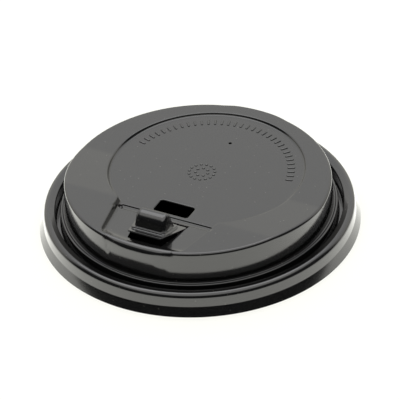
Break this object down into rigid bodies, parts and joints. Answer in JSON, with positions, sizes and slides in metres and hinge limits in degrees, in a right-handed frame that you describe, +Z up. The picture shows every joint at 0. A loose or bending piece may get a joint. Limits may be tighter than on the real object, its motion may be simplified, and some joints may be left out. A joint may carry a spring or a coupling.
{
  "type": "coffee cup lid",
  "caption": "Round thermoformed travel lid with a hook-over rim, a sloping dome, a sip channel and a lift-back flap whose knob locks into a slot.",
  "frame": {"origin": "centre of the rim's lower edge, which the lid rests on", "axes": "+Z up through the dome, -Y towards the drinking lip, +X to the right for someone on the lip's side who looks along +Y"},
  "size_m": [0.094, 0.094, 0.0209],
  "materials": {
    "black_polystyrene": "gloss, thermoformed"
  },
  "bodies": {
    "lid": {"lid_shell": "black_polystyrene"},
    "flap": {"sip_flap": "black_polystyrene"}
  },
  "joints": [
    {"name": "flap_hinge", "type": "hinge", "parent": "lid", "child": "flap", "pos_m": [0, -0.02165, 0.0138], "axis": [-1, 0, 0], "range_deg": [-12, 129]}
  ]
}
